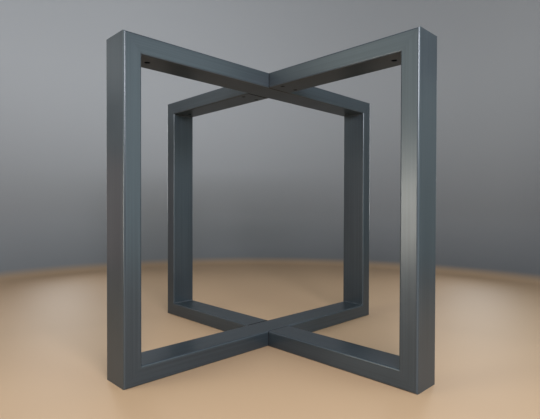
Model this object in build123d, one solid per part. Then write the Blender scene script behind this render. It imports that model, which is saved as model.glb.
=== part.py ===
from build123d import *
import os

# Cross-shaped table base of rectangular steel tube.
# A closed main frame runs along X. Two C-shaped half frames stand along Y, butt against
# the sides of its rails and are screwed to brackets inside their own rails.
# Millimetres, +Z up. The origin is on the floor, under the crossing.

# Overall sizes
frame_height = 720.0
frame_length = 900.0

# Tube section: the width lies across a frame's plane, the depth in it
tube_width = 80.0
tube_depth = 40.0
tube_wall = 2.0
tube_corner_radius = 4.0
least_inner_radius = 0.5

# Holes for the screws that hold a table top: the inset is from a frame's outer end
fixing_inset = 75.0
access_hole_diameter = 13.0
fixing_hole_diameter = 7.0

# Weld beads in the inner corners
weld_leg = 3.0
weld_crown = 0.5

# Joint between a half rail and the side of a main rail
seam_gap = 0.3
bracket_thickness = 5.0
bracket_reach = 60.0
bracket_clearance = 0.3
plug_weld_diameter = 12.0
plug_weld_spacing = 40.0

# Countersunk screws that hold a half rail to its bracket, from below
screw_inset = 35.0
screw_spacing = 50.0
screw_diameter = 6.0
screw_length = 10.0
screw_head_diameter = 11.5
screw_head_recess = 0.2
screw_socket_width = 4.0
screw_socket_depth = 2.0
screw_clearance = 0.1

# Places worked out from the sizes above
frame_end = frame_length / 2
upright_inner_face = frame_end - tube_depth
top_rail_base = frame_height - tube_depth
main_rail_side = tube_width / 2
half_rail_end = main_rail_side + seam_gap
inner_width = tube_width - 2 * tube_wall
inner_depth = tube_depth - 2 * tube_wall
inner_radius = max(tube_corner_radius - tube_wall, least_inner_radius)
fixing_place = frame_end - fixing_inset
screw_place = main_rail_side + screw_inset

# The level of each rail's underside, and of its outer and inner faces in the frame
rail_bases = {"top": top_rail_base, "bottom": 0.0}
outer_levels = {"top": frame_height, "bottom": 0.0}
inner_levels = {"top": top_rail_base, "bottom": tube_depth}

# A half turn about Z takes the left end of a frame to its right end
half_turn = Rot(0, 0, 180)
upwards = (Align.CENTER, Align.CENTER, Align.MIN)
downwards = (Align.CENTER, Align.CENTER, Align.MAX)


def rounded_bar(width, depth, radius, start, end, base):
    """A solid bar along X with rounded long edges, its underside at a level."""
    section = Plane.YZ * RectangleRounded(width, depth, radius)
    return Pos(start, 0, base + depth / 2) * extrude(section, end - start)


def lying_tube(start, end, base):
    """A hollow tube along X."""
    outside = rounded_bar(tube_width, tube_depth, tube_corner_radius, start, end, base)
    inside = rounded_bar(inner_width, inner_depth, inner_radius, start, end, base + tube_wall)
    return outside - inside


def side_view_block(*corners):
    """A block as wide as the tube, drawn by its corners in the frame's plane."""
    outline = Plane.XZ * make_face(Polyline(*corners, close=True))
    return extrude(outline, tube_width / 2, both=True)


def left_mitre(tube, side):
    """Cut a rail's left end at 45 degrees, to meet its upright."""
    waste = side_view_block(
        (-frame_end, outer_levels[side]),
        (-upright_inner_face, inner_levels[side]),
        (-frame_end, inner_levels[side]),
    )
    return tube - waste


def fixing_holes(place):
    """A screw hole in the upper wall, and a wider one for the driver in the lower wall."""
    access = Cylinder(access_hole_diameter / 2, tube_depth / 2, align=upwards)
    screw = Cylinder(fixing_hole_diameter / 2, tube_depth, align=downwards)
    return Pos(place, 0, top_rail_base) * access + Pos(place, 0, frame_height) * screw


def main_rail(side):
    """A rail of the main frame, mitred at both ends."""
    tube = lying_tube(-frame_end, frame_end, rail_bases[side])
    for _ in range(2):
        tube = half_turn * left_mitre(tube, side)
    if side == "top":
        tube = tube - fixing_holes(-fixing_place) - fixing_holes(fixing_place)
    return tube


def half_rail(side):
    """A rail of a half frame, mitred at its outer end and square at the crossing."""
    base = rail_bases[side]
    tube = left_mitre(lying_tube(-frame_end, -half_rail_end, base), side) - screw_holes(base)
    if side == "top":
        tube = tube - fixing_holes(-fixing_place)
    return tube


def left_upright():
    """An upright at a frame's left end, mitred at both ends to meet its rails."""
    standing = Rot(0, -90, 0) * lying_tube(0, frame_height, 0)
    tube = Pos(-upright_inner_face, 0, 0) * standing
    for side in rail_bases:
        tube = tube - side_view_block(
            (-frame_end, outer_levels[side]),
            (-upright_inner_face, outer_levels[side]),
            (-upright_inner_face, inner_levels[side]),
        )
    return tube


def weld_bead(side):
    """A bead in the inner corner between the left upright and one of its rails."""
    into_frame = {"top": -1, "bottom": 1}[side]
    level = inner_levels[side]
    corner = (-upright_inner_face, level)
    on_rail = (-upright_inner_face + weld_leg, level)
    on_upright = (-upright_inner_face, level + into_frame * weld_leg)
    crest_leg = weld_leg / 2 + weld_crown
    crest = (-upright_inner_face + crest_leg, level + into_frame * crest_leg)
    outline = Polyline(on_rail, corner, on_upright) + ThreePointArc(on_upright, crest, on_rail)
    flat_width = tube_width - 2 * tube_corner_radius
    return extrude(Plane.XZ * make_face(outline), flat_width / 2, both=True)


def screw_form(growth):
    """A countersunk screw that points up, grown all round by a clearance."""
    head_radius = screw_head_diameter / 2 + growth
    shank_radius = screw_diameter / 2 + growth
    head = Cone(head_radius, shank_radius, head_radius - shank_radius, align=upwards)
    shank = Cylinder(shank_radius, screw_length, align=upwards)
    return Pos(0, 0, screw_head_recess) * (head + shank)


def at_screws(shape, base):
    """The two places of one joint's screws, left of the crossing."""
    return [Pos(-screw_place, side * screw_spacing / 2, base) * shape for side in (-1, 1)]


def screw_holes(base):
    """Countersunk holes through a half rail's lower wall and its bracket's lower flange."""
    mouth = Cylinder(screw_head_diameter / 2 + screw_clearance, screw_head_recess, align=upwards)
    return at_screws(screw_form(screw_clearance) + mouth, base)


def screws(base):
    """The two screws of one joint, with hexagon sockets in their heads."""
    hexagon = RegularPolygon(screw_socket_width / 2, 6, major_radius=False)
    socket = extrude(Pos(0, 0, screw_head_recess) * hexagon, screw_socket_depth)
    return at_screws(screw_form(0) - socket, base)


def plug_welds(base):
    """Weld metal that fills two holes in a bracket's web and holds it to the main rail."""
    plug = Rot(0, -90, 0) * Cylinder(plug_weld_diameter / 2, bracket_thickness, align=upwards)
    level = base + tube_depth / 2
    return [Pos(-main_rail_side, side * plug_weld_spacing / 2, level) * plug for side in (-1, 1)]


def bracket(base):
    """A strip folded to a U: the web sits on the main rail, the flanges reach into the half rail."""
    floor = base + tube_wall
    height = inner_depth - 2 * bracket_clearance
    width = inner_width - 2 * bracket_clearance
    tip = -main_rail_side - bracket_reach
    web = -main_rail_side - bracket_thickness
    lower_flange = floor + bracket_thickness
    upper_flange = floor + height - bracket_thickness
    blank = rounded_bar(width, height, inner_radius, tip, -main_rail_side, floor)
    mouth = side_view_block(
        (tip, lower_flange), (web, lower_flange), (web, upper_flange), (tip, upper_flange)
    )
    return blank - mouth - plug_welds(base) - screw_holes(base)


nodes = {
    "main_top_rail": main_rail("top"),
    "main_bottom_rail": main_rail("bottom"),
    "main_left_upright": left_upright(),
    "main_right_upright": half_turn * left_upright(),
}
corner_welds = []
bracket_welds = []
bracket_screws = []

for turn in (Rot(0, 0, 0), half_turn):
    corner_welds += [turn * weld_bead(side) for side in rail_bases]

# The half frames are drawn on the left of the crossing and turned to the front and the rear
half_frame_turns = {"front": Rot(0, 0, 90), "rear": Rot(0, 0, -90)}
for end, turn in half_frame_turns.items():
    nodes[f"{end}_half_upright"] = turn * left_upright()
    for side, base in rail_bases.items():
        nodes[f"{end}_half_{side}_rail"] = turn * half_rail(side)
        nodes[f"{end}_{side}_bracket"] = turn * bracket(base)
        corner_welds.append(turn * weld_bead(side))
        bracket_welds += [turn * plug for plug in plug_welds(base)]
        bracket_screws += [turn * screw for screw in screws(base)]

nodes["corner_weld_beads"] = Compound(children=corner_welds)
nodes["bracket_plug_welds"] = Compound(children=bracket_welds)
nodes["bracket_screws"] = Compound(children=bracket_screws)

os.makedirs("parts", exist_ok=True)
for name, shape in nodes.items():
    export_step(shape, f"parts/{name}.step")
    print(name, len(shape.solids()), "solids", round(shape.volume), "mm3")
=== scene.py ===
# %% [markdown]
# # A cross-shaped table base in a dark steel coat
# The base is a welded frame of rectangular steel tube with two half frames screwed to its sides.
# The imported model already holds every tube, bracket and screw at its true size, so this lesson adds
# what the eye reads next: the coat with its rolled streaks, light edges and ground mitres, the
# ripples of the weld beads, and a quiet studio around them. Everything is in metres, with the origin
# on the floor under the crossing, the main frame along X and the half frames along Y.

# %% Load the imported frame
import math

import bmesh
import bpy
from mathutils import Matrix, Vector


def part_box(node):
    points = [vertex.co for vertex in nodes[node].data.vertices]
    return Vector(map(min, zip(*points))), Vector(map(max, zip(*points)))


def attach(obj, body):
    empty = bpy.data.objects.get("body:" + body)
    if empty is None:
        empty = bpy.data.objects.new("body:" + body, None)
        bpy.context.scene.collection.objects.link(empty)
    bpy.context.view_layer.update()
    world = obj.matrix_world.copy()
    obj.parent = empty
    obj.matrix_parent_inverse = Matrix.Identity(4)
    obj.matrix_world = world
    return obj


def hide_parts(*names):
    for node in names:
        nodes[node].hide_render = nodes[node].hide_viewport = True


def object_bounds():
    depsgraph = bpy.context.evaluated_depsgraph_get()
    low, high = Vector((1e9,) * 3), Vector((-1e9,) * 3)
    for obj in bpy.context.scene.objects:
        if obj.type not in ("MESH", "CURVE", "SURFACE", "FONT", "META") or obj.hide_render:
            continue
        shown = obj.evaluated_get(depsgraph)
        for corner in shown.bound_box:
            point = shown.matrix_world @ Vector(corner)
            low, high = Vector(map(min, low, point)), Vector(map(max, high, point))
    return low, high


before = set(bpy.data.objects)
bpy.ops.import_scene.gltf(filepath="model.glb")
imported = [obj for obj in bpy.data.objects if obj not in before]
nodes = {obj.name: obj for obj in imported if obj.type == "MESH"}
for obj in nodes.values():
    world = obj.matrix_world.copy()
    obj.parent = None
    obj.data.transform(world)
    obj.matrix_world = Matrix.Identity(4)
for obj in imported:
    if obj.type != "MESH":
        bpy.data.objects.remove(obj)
cad_low, cad_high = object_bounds()
print("CAD box", [round(v, 4) for v in (*cad_low, *cad_high)])

# %% [markdown]
# ## The camera
# The picture was taken from about half the base's height, close enough that the near uprights loom
# over the far ones. A camera is a place, a direction and a lens. It could be aimed at a target, but
# three plain turns also hold its slight tilt: heading from +Y towards +X, pitch above the horizon
# and roll about the view. The picture is a crop, so its centre isn't where the lens pointed, and the
# camera's shift says so.

# %% Place the camera
image_width = 540
image_height = 419
focal_pixels = 437.59
view_centre = (251.64, 211.78)
camera_place = Vector((-0.8608, -0.8490, 0.3690))
heading = math.radians(43.20)
pitch = math.radians(-0.69)
roll = math.radians(0.11)

camera_data = bpy.data.cameras.new("photo_camera")
camera_data.sensor_width = 36.0
camera_data.lens = focal_pixels * camera_data.sensor_width / image_width
camera_data.shift_x = 0.5 - view_centre[0] / image_width
camera_data.shift_y = (view_centre[1] - image_height / 2) / image_width
camera = bpy.data.objects.new("photo_camera", camera_data)
bpy.context.scene.collection.objects.link(camera)
camera.matrix_world = (
    Matrix.Translation(camera_place)
    @ Matrix.Rotation(-heading, 4, "Z")
    @ Matrix.Rotation(math.pi / 2 + pitch, 4, "X")
    @ Matrix.Rotation(roll, 4, "Z")
)
bpy.context.scene.camera = camera
bpy.context.scene.view_settings.view_transform = "Standard"
print("lens", round(camera_data.lens, 2), "mm")

# %% [markdown]
# ## The cove
# A cove is a floor that curves up into a wall, so there is no hard line behind the object. A plane
# and a box would leave that line. Three points make an L, a bevel rounds its corner, and a full spin
# about the vertical axis turns it into a round studio whose shape is the same from every side.

# %% Model the cove
cove_radius = 1.9
cove_height = 2.1
cove_bend = 0.35
cove_bend_steps = 12
cove_steps = 96


def mesh_object(name, mesh):
    """Turn a finished bmesh into an object of the scene."""
    data = bpy.data.meshes.new(name)
    mesh.to_mesh(data)
    mesh.free()
    made = bpy.data.objects.new(name, data)
    bpy.context.scene.collection.objects.link(made)
    print(name, len(data.polygons), "faces")
    return made


cove_mesh = bmesh.new()
centre = cove_mesh.verts.new((0, 0, 0))
corner = cove_mesh.verts.new((cove_radius, 0, 0))
rim = cove_mesh.verts.new((cove_radius, 0, cove_height))
cove_mesh.edges.new((centre, corner))
cove_mesh.edges.new((corner, rim))
bmesh.ops.bevel(
    cove_mesh,
    geom=[corner],
    offset=cove_bend,
    affect="VERTICES",
    segments=cove_bend_steps,
    profile=0.5,
    material=-1,
)
bmesh.ops.spin(
    cove_mesh,
    geom=[*cove_mesh.verts, *cove_mesh.edges],
    cent=(0, 0, 0),
    axis=(0, 0, 1),
    angle=2 * math.pi,
    steps=cove_steps,
    use_merge=True,
)
bmesh.ops.remove_doubles(cove_mesh, verts=cove_mesh.verts, dist=0.0005)
bmesh.ops.recalc_face_normals(cove_mesh, faces=cove_mesh.faces)
for face in cove_mesh.faces:
    face.smooth = True
cove = mesh_object("studio_cove", cove_mesh)

# %% [markdown]
# ## The cove's paint
# The floor is a pale warm tone and the wall a cool grey. Painted light and shade make the wall paler
# with height and darker to the right of the picture. The coat mirrors the wall at flat angles, so
# that painted shading is what the rails' upper and lower faces show. Two painted pieces would leave a
# seam, so one material reads the place from the Object coordinates and blends three colours. The
# small functions here add a node, fill a socket, do arithmetic, carry a value from one range to
# another and mix two colours, and the later materials use them too.

# %% Paint the cove
floor_colour = (0.48, 0.315, 0.185, 1)
# The two wall tones carry painted shade low down and painted light high up.
low_wall_colour = (0.225, 0.228, 0.234, 1)
high_wall_colour = (0.55, 0.561, 0.578, 1)
floor_edge_height = 0.04
wall_fade_heights = (-0.1, 1.3)
wall_sides = (-1.84, 1.84)
painted_wall_shade_range = (1.0, 0.65)
black = (0, 0, 0, 1)
cove_roughness = 0.6


def add_node(tree, kind, **settings):
    """Add a node to a tree and give it its settings."""
    node = tree.nodes.new(kind)
    for name, value in settings.items():
        setattr(node, name, value)
    return node


def fill(tree, socket, value):
    """Link a socket to another socket, or set it to a plain value."""
    if isinstance(value, bpy.types.NodeSocket):
        tree.links.new(value, socket)
    else:
        socket.default_value = value


def calculate(tree, operation, *values):
    """A Math node's result from up to three numbers or sockets."""
    node = add_node(tree, "ShaderNodeMath", operation=operation)
    for socket, value in zip(node.inputs, values):
        fill(tree, socket, value)
    return node.outputs["Value"]


def remap(tree, value, from_range, to_range):
    """Carry a value smoothly from one range to another."""
    node = add_node(tree, "ShaderNodeMapRange", interpolation_type="SMOOTHSTEP")
    for socket, number in zip(node.inputs, (value, *from_range, *to_range)):
        fill(tree, socket, number)
    return node.outputs["Result"]


def blend_colours(tree, factor, first, second):
    """Mix two colours by a factor."""
    node = add_node(tree, "ShaderNodeMix", data_type="RGBA")
    fill(tree, node.inputs["Factor"], factor)
    colour_sockets = [socket for socket in node.inputs if socket.type == "RGBA"]
    for socket, colour in zip(colour_sockets, (first, second)):
        fill(tree, socket, colour)
    return next(socket for socket in node.outputs if socket.type == "RGBA")


def new_material(name):
    """A material with its node tree, its Principled shader and its Object coordinates."""
    material = bpy.data.materials.new(name)
    material.use_nodes = True
    tree = material.node_tree
    place = add_node(tree, "ShaderNodeTexCoord").outputs["Object"]
    return material, tree, tree.nodes["Principled BSDF"], place


cove_paint, tree, shader, place = new_material("cove_paint")
split = add_node(tree, "ShaderNodeSeparateXYZ")
fill(tree, split.inputs["Vector"], place)
height = split.outputs["Z"]
# Painted light and shade: the wall grows paler with height, then darker towards the right.
up_wall = remap(tree, height, wall_fade_heights, (0, 1))
wall_colour = blend_colours(tree, up_wall, low_wall_colour, high_wall_colour)
to_right = calculate(tree, "SUBTRACT", split.outputs["X"], split.outputs["Y"])
painted_wall_light = remap(tree, to_right, wall_sides, painted_wall_shade_range)
wall_colour = blend_colours(tree, painted_wall_light, black, wall_colour)
above_floor = remap(tree, height, (0, floor_edge_height), (0, 1))
fill(tree, shader.inputs["Base Color"], blend_colours(tree, above_floor, floor_colour, wall_colour))
shader.inputs["Roughness"].default_value = cove_roughness
cove.data.materials.append(cove_paint)
print(cove_paint.name, "on", cove.name)

# %% [markdown]
# ## The light
# Gloss is what a surface mirrors, so a satin coat is lit with panels rather than with small lamps.
# The key panel stands behind and above the camera and draws the highlights on the near edges. The
# right panel and the two left ones are what the tubes' flat sides mirror, and a small high one is
# there for the far top rail. The low panel lays the broad sheen on the right-hand upright, and two
# weak ones to the sides tint the ends of the near uprights. Two narrow strips light the far sides,
# so the base reads from all round. A dim sky fills in from above.

# %% Set the lamps
sky_colour = (0.94, 0.97, 1.0, 1)
sky_strength = 0.28


def soft_panel(name, place, target, size, watts, colour, spread=180):
    """A rectangular lamp that faces a target and fans its light out by spread degrees."""
    lamp = bpy.data.lights.new(name, "AREA")
    lamp.shape = "RECTANGLE"
    lamp.size, lamp.size_y = size
    lamp.energy = watts
    lamp.color = colour
    lamp.spread = math.radians(spread)
    panel = bpy.data.objects.new(name, lamp)
    panel.location = place
    panel.rotation_euler = (Vector(target) - panel.location).to_track_quat("-Z", "Y").to_euler()
    panel.visible_camera = False
    bpy.context.scene.collection.objects.link(panel)
    print(name, watts, "W")


soft_panel(
    "key_panel", place=(-0.88, -1.46, 1.06), target=(-0.3, -0.3, 0.55),
    size=(1.0, 0.5), watts=38, colour=(0.88, 0.91, 1.0),
)
soft_panel(
    "right_panel", place=(0.46, -1.49, 0.72), target=(0, 0, 0.5),
    size=(0.92, 1.35), watts=8.1, colour=(0.75, 0.96, 1.0),
)
soft_panel(
    "left_panel", place=(-1.418, 0.438, 1.262), target=(0.072, -0.022, 0.712),
    size=(0.92, 0.85), watts=4.9, colour=(0.87, 1.0, 0.93),
)
soft_panel(
    "left_lower_panel", place=(-1.68, 0.325, 0.65), target=(-0.19, -0.135, 0.1),
    size=(0.55, 0.45), watts=1.55, colour=(0.87, 1.0, 0.93),
)
soft_panel(
    "low_panel", place=(-1.5, 0.33, 0.36), target=(0, -0.43, 0.38),
    size=(0.45, 0.46), watts=1.6, colour=(1.0, 0.97, 0.87), spread=80,
)
soft_panel(
    "right_side_panel", place=(1.35, -1.1, 0.5), target=(0, -0.45, 0.4),
    size=(0.8, 1.0), watts=0.55, colour=(0.78, 1.0, 0.9),
)
soft_panel(
    "left_side_panel", place=(-1.06, 1.26, 0.335), target=(-0.4, 0, 0.4),
    size=(0.8, 0.57), watts=0.45, colour=(1.0, 0.52, 0.38),
)
soft_panel(
    "left_high_panel", place=(-0.94, 1.294, 1.09), target=(-0.04, 0.2, 0.7),
    size=(0.36, 0.3), watts=0.24, colour=(0.92, 0.97, 1.0),
)
soft_panel(
    "back_right_strip", place=(1.68, 0.05, 0.7), target=(0, 0, 0.55),
    size=(0.3, 0.9), watts=2.3, colour=(0.92, 0.97, 1.0), spread=110,
)
soft_panel(
    "back_left_strip", place=(0.05, 1.68, 0.7), target=(0, 0, 0.55),
    size=(0.3, 0.9), watts=2.3, colour=(0.92, 0.97, 1.0), spread=110,
)

world = bpy.data.worlds.new("studio_sky")
world.use_nodes = True
sky = world.node_tree.nodes["Background"]
sky.inputs["Color"].default_value = sky_colour
sky.inputs["Strength"].default_value = sky_strength
bpy.context.scene.world = world
print(world.name, sky_strength)

# %% [markdown]
# ## Rolled streaks, as a shared group
# Steel tube is rolled from strip, and its long drawn marks show through a thin coat. They could be
# wave bands, but those repeat, so a noise stretched along the tube gives the streaks. A fine noise
# gives the orange peel of the sprayed coat and a broad one the slight unevenness of its tone. The
# group takes a place whose X runs along the tube.

# %% Make the streak group
streaks_per_metre = (2.0, 300.0, 300.0)
peel_scale = 420.0
cloud_scale = 7.0


def new_group(name, inputs, outputs):
    """An empty shader node group with named sockets: each is a name and a socket kind."""
    group = bpy.data.node_groups.new(name, "ShaderNodeTree")
    for label, kind in inputs:
        group.interface.new_socket(label, in_out="INPUT", socket_type=kind)
    for label, kind in outputs:
        group.interface.new_socket(label, in_out="OUTPUT", socket_type=kind)
    given = group.nodes.new("NodeGroupInput").outputs
    result = group.nodes.new("NodeGroupOutput").inputs
    print("group", name, "gives", ", ".join(label for label, _ in outputs))
    return group, given, result


def noise(tree, place, scale, detail):
    """A noise texture's grey value at a place."""
    node = add_node(tree, "ShaderNodeTexNoise")
    fill(tree, node.inputs["Vector"], place)
    node.inputs["Scale"].default_value = scale
    node.inputs["Detail"].default_value = detail
    return node.outputs["Fac"]


streak_group, given, result = new_group(
    "rolled_streaks",
    [("Place", "NodeSocketVector")],
    [("Streak", "NodeSocketFloat"), ("Peel", "NodeSocketFloat"), ("Cloud", "NodeSocketFloat")],
)
stretched = add_node(streak_group, "ShaderNodeVectorMath", operation="MULTIPLY")
fill(streak_group, stretched.inputs[0], given["Place"])
fill(streak_group, stretched.inputs[1], streaks_per_metre)
fill(streak_group, result["Streak"], noise(streak_group, stretched.outputs["Vector"], scale=1.0, detail=2))
fill(streak_group, result["Peel"], noise(streak_group, given["Place"], peel_scale, detail=2))
fill(streak_group, result["Cloud"], noise(streak_group, given["Place"], cloud_scale, detail=3))

# %% [markdown]
# ## Ground mitres, as a shared group
# Rails and uprights meet at 45 degrees. The weld there is ground flush, and what is left is a band
# a few millimetres wide along the mitre with a slightly different gloss. A painted mask would have to
# be fitted to eight corners. On a mitre a point lies as far from the frame's end as from its top or
# bottom, so the difference of the two distances finds all eight at once.

# %% Make the mitre group
mitre_band = 0.008

mitre_group, given, result = new_group(
    "ground_mitre", [("Place", "NodeSocketVector")], [("Band", "NodeSocketFloat")]
)
split = add_node(mitre_group, "ShaderNodeSeparateXYZ")
fill(mitre_group, split.inputs["Vector"], given["Place"])
along_x = calculate(mitre_group, "ABSOLUTE", split.outputs["X"])
along_y = calculate(mitre_group, "ABSOLUTE", split.outputs["Y"])
reach = calculate(mitre_group, "MAXIMUM", along_x, along_y)
from_end = calculate(mitre_group, "SUBTRACT", cad_high.x, reach)
from_top = calculate(mitre_group, "SUBTRACT", cad_high.z, split.outputs["Z"])
from_level = calculate(mitre_group, "MINIMUM", from_top, split.outputs["Z"])
offset = calculate(mitre_group, "SUBTRACT", from_end, from_level)
distance = calculate(mitre_group, "ABSOLUTE", offset)
fill(mitre_group, result["Band"], remap(mitre_group, distance, (0, mitre_band), (1, 0)))

# %% [markdown]
# ## Lighter edges, as a shared group
# A sprayed coat draws back from an edge, and hands and cloths polish it, so the tubes' long edges
# are a little smoother than their flats. They are also painted lighter, partly for that wear and
# partly as a painted highlight along the rounded edges. Pointiness could find edges, but it depends
# on the mesh. The flats face along X, Y or Z and the rounded edges don't, so the largest part of the
# surface normal tells them apart.

# %% Make the edge group
edge_facing = (0.75, 0.98)

edge_group, given, result = new_group("worn_and_highlit_edges", [], [("Edge", "NodeSocketFloat")])
facing = add_node(edge_group, "ShaderNodeNewGeometry").outputs["Normal"]
split = add_node(edge_group, "ShaderNodeSeparateXYZ")
fill(edge_group, split.inputs["Vector"], facing)
parts = [calculate(edge_group, "ABSOLUTE", split.outputs[axis]) for axis in "XYZ"]
largest = calculate(edge_group, "MAXIMUM", parts[0], parts[1])
largest = calculate(edge_group, "MAXIMUM", largest, parts[2])
fill(edge_group, result["Edge"], remap(edge_group, largest, edge_facing, (1, 0)))

# %% [markdown]
# ## The coat
# The finish is a smooth anthracite coat with a satin gloss. One material could hold all tubes, but
# its streaks would run one way, so there are three, and a Mapping node turns each one's streaks along
# its tubes. The streaks and the broad unevenness set the tone, the edges are paler with wear and a
# painted highlight, and the mitres a little duller. On the half rails a narrow band by the main rails
# is painted dark and rough, a painted shade that widens the shadow of the joint gap.

# %% Choose the coat's tones and gloss
coat_dark = (0.018, 0.0245, 0.0295, 1)
coat_light = (0.035, 0.0455, 0.053, 1)
# The paler edge colour is partly worn coat and partly a painted highlight.
coat_edge_highlight = (0.085, 0.105, 0.118, 1)
# Painted shade: the dark colour stands in for the shadow in the joint gap.
painted_gap_shade_colour = (0.004, 0.0045, 0.005, 1)
noise_middle = (0.3, 0.7)
streak_share = 0.55
cloud_share = 0.45
edge_wear_and_highlight = 0.32
coat_roughness = (0.285, 0.325)
mitre_roughness = 0.05
streak_relief = 0.2
relief_height = 0.000008
seam_widths = (0.0014, 0.0026)
seam_roughness = 0.9
turns_to_x = {"x": (0, 0, 0), "y": (0, 0, -math.pi / 2), "z": (0, math.pi / 2, 0)}
main_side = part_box("main_top_rail")[1].y
print("the half rails meet the main rails at", round(main_side, 4), "m")

# %% Make the coat
def joint_seam(tree, place):
    """How close a place on a half rail is to the main rail's side."""
    split = add_node(tree, "ShaderNodeSeparateXYZ")
    fill(tree, split.inputs["Vector"], place)
    from_middle = calculate(tree, "ABSOLUTE", split.outputs["Y"])
    return remap(tree, from_middle, [main_side + width for width in seam_widths], (1, 0))


def coat_material(axis):
    """The coat on tubes that run along one axis."""
    material, tree, shader, place = new_material(f"anthracite_coat_{axis}")
    turned = add_node(tree, "ShaderNodeMapping")
    fill(tree, turned.inputs["Rotation"], turns_to_x[axis])
    fill(tree, turned.inputs["Vector"], place)
    streaks = add_node(tree, "ShaderNodeGroup", node_tree=streak_group)
    fill(tree, streaks.inputs["Place"], turned.outputs["Vector"])
    mitre = add_node(tree, "ShaderNodeGroup", node_tree=mitre_group)
    fill(tree, mitre.inputs["Place"], place)
    edges = add_node(tree, "ShaderNodeGroup", node_tree=edge_group)

    tone = remap(tree, streaks.outputs["Streak"], noise_middle, (0, streak_share))
    tone = calculate(tree, "MULTIPLY_ADD", streaks.outputs["Cloud"], cloud_share, tone)
    # The edges are lightened by wear and by a painted highlight.
    edge_sheen_and_wear = calculate(tree, "MULTIPLY", edges.outputs["Edge"], edge_wear_and_highlight)
    colour = blend_colours(tree, tone, coat_dark, coat_light)
    colour = blend_colours(tree, edge_sheen_and_wear, colour, coat_edge_highlight)
    gloss = remap(tree, streaks.outputs["Cloud"], noise_middle, coat_roughness)
    gloss = calculate(tree, "MULTIPLY_ADD", mitre.outputs["Band"], mitre_roughness, gloss)
    # Painted shade: a dark band on the half rails by the main rails widens the joint gap's shadow.
    if axis == "y":
        gap_shade = joint_seam(tree, place)
        colour = blend_colours(tree, gap_shade, colour, painted_gap_shade_colour)
        gloss = remap(tree, gap_shade, (0, 1), (gloss, seam_roughness))
    fill(tree, shader.inputs["Base Color"], colour)
    fill(tree, shader.inputs["Roughness"], gloss)

    relief = calculate(tree, "MULTIPLY", streaks.outputs["Streak"], streak_relief)
    relief = calculate(tree, "ADD", relief, streaks.outputs["Peel"])
    flat = calculate(tree, "SUBTRACT", 1.0, edges.outputs["Edge"])
    bump = add_node(tree, "ShaderNodeBump")
    bump.inputs["Strength"].default_value = 1.0
    bump.inputs["Distance"].default_value = relief_height
    fill(tree, bump.inputs["Height"], calculate(tree, "MULTIPLY", relief, flat))
    fill(tree, shader.inputs["Normal"], bump.outputs["Normal"])
    return material


coats = {axis: coat_material(axis) for axis in turns_to_x}
print("coats along", ", ".join(coats))

# %% [markdown]
# ## Coat the tubes
# A CAD node whose shape is right keeps its mesh and only gets a better material. The rails of the
# main frame run along X, the half rails along Y and the uprights along Z.

# %% Dress the tubes
def dress(names, material):
    """Give CAD nodes a material in their first slot."""
    for name in names:
        nodes[name].data.materials.clear()
        nodes[name].data.materials.append(material)
    print(material.name, "on", ", ".join(names))


half_ends = [(end, side) for end in ("front", "rear") for side in ("top", "bottom")]
dress(["main_top_rail", "main_bottom_rail"], coats["x"])
dress([f"{end}_half_{side}_rail" for end, side in half_ends], coats["y"])
dress(["main_left_upright", "main_right_upright", "front_half_upright", "rear_half_upright"], coats["z"])

# %% [markdown]
# ## Weld beads
# Where an upright meets a rail inside the frame, the weld can't be ground away, and a small bead is
# left with the ripples of the welding torch. Bump could fake the ripples, but they would vanish from
# the mesh, so they are modelled. The bead's section is a kite with its outer corner rounded by a
# bevel. A spin with no angle and a step sweeps it across the tube, and the slices are then swelled
# and shrunk about the corner for the ripples and drawn in at the ends to a dome.

# %% Model the weld beads
tube_low, tube_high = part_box("main_left_upright")
tube_depth = tube_high.x - tube_low.x
tube_width = tube_high.y - tube_low.y
tube_edge_radius = 0.004
bead_leg = 0.003
bead_crown = 0.0024
bead_rounding = 0.0012
bead_rounding_steps = 5
bead_length = tube_width - 2 * tube_edge_radius
bead_slices = 144
bead_ripple_pitch = 0.003
bead_ripple = 0.11
bead_dome = 0.003
bead_end_share = 0.3
corner_reach = cad_high.x - tube_depth


def add_bead(mesh, placing):
    """Sweep one bead along Y, ripple it and set it in its corner."""
    before = set(mesh.verts)
    start = -bead_length / 2
    kite = [(0, 0), (bead_leg, 0), (bead_crown, bead_crown), (0, bead_leg)]
    section = [mesh.verts.new((x, start, z)) for x, z in kite]
    mesh.faces.new(section)
    bmesh.ops.bevel(
        mesh,
        geom=[section[2]],
        offset=bead_rounding,
        affect="VERTICES",
        segments=bead_rounding_steps,
        profile=0.5,
        material=-1,
    )
    section = [vert for vert in mesh.verts if vert not in before]
    end_face = section[0].link_faces[0]
    bmesh.ops.spin(
        mesh,
        geom=[end_face, *end_face.edges, *section],
        cent=(0, 0, 0),
        axis=(0, 1, 0),
        angle=0.0,
        dvec=(0, bead_length / bead_slices, 0),
        steps=bead_slices,
    )
    swept = [vert for vert in mesh.verts if vert not in before]
    for vert in swept:
        ripple = math.sin(2 * math.pi * vert.co.y / bead_ripple_pitch)
        into_dome = max(0.0, 1 - (bead_length / 2 - abs(vert.co.y)) / bead_dome)
        taper = bead_end_share + (1 - bead_end_share) * math.sqrt(max(0.0, 1 - into_dome**2))
        swell = (1 + bead_ripple * ripple) * taper
        vert.co.x *= swell
        vert.co.z *= swell
    bmesh.ops.transform(mesh, matrix=placing, verts=swept)


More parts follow.
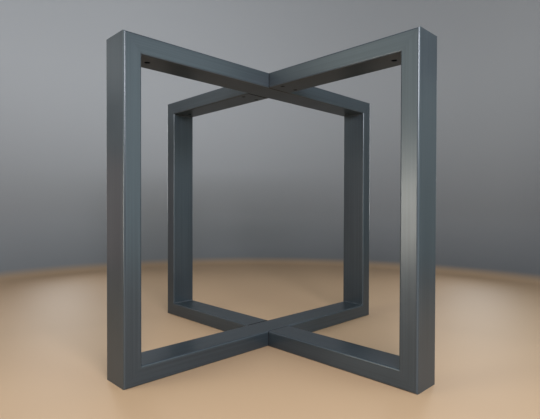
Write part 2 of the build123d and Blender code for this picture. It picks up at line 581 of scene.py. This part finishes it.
bead_mesh = bmesh.new()
for turn in (0, 90, 180, 270):
    for level, way in ((tube_depth, 1), (cad_high.z - tube_depth, -1)):
        to_corner = Matrix.Translation((-corner_reach, 0, level)) @ Matrix.Diagonal((1, 1, way, 1))
        add_bead(bead_mesh, Matrix.Rotation(math.radians(turn), 4, "Z") @ to_corner)
bmesh.ops.recalc_face_normals(bead_mesh, faces=bead_mesh.faces)
for face in bead_mesh.faces:
    face.smooth = len(face.verts) == 4
welded_corners = mesh_object("welded_corners", bead_mesh)
welded_corners.data.materials.append(coats["z"])
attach(welded_corners, "root")
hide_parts("corner_weld_beads")

# %% [markdown]
# ## Brackets and screws
# The brackets inside the half rails are bare rolled steel with a blotchy mill scale, and the screws
# that reach them are blackened. Little of either shows, but they are there when the base is taken
# apart. One noise drives both the colour and the roughness, because scale is duller where it is darker.

# %% Dress the brackets
steel_dark = (0.30, 0.30, 0.31, 1)
steel_light = (0.46, 0.45, 0.44, 1)
steel_roughness = (0.55, 0.35)
steel_noise_scale = 60.0

bracket_steel, tree, shader, place = new_material("rolled_steel")
mill_scale = noise(tree, place, steel_noise_scale, detail=5)
fill(tree, shader.inputs["Base Color"], blend_colours(tree, mill_scale, steel_dark, steel_light))
fill(tree, shader.inputs["Roughness"], remap(tree, mill_scale, noise_middle, steel_roughness))
shader.inputs["Metallic"].default_value = 1.0
dress([f"{end}_{side}_bracket" for end, side in half_ends] + ["bracket_plug_welds"], bracket_steel)

# %% Dress the screws
black_dark = (0.006, 0.006, 0.0065, 1)
black_light = (0.016, 0.016, 0.017, 1)
black_roughness = (0.55, 0.7)
black_specular = 0.25
oxide_scale = 300.0

screw_black, tree, shader, place = new_material("blackened_steel")
oxide = noise(tree, place, oxide_scale, detail=3)
fill(tree, shader.inputs["Base Color"], blend_colours(tree, oxide, black_dark, black_light))
fill(tree, shader.inputs["Roughness"], remap(tree, oxide, noise_middle, black_roughness))
shader.inputs["Specular IOR Level"].default_value = black_specular
dress(["bracket_screws"], screw_black)
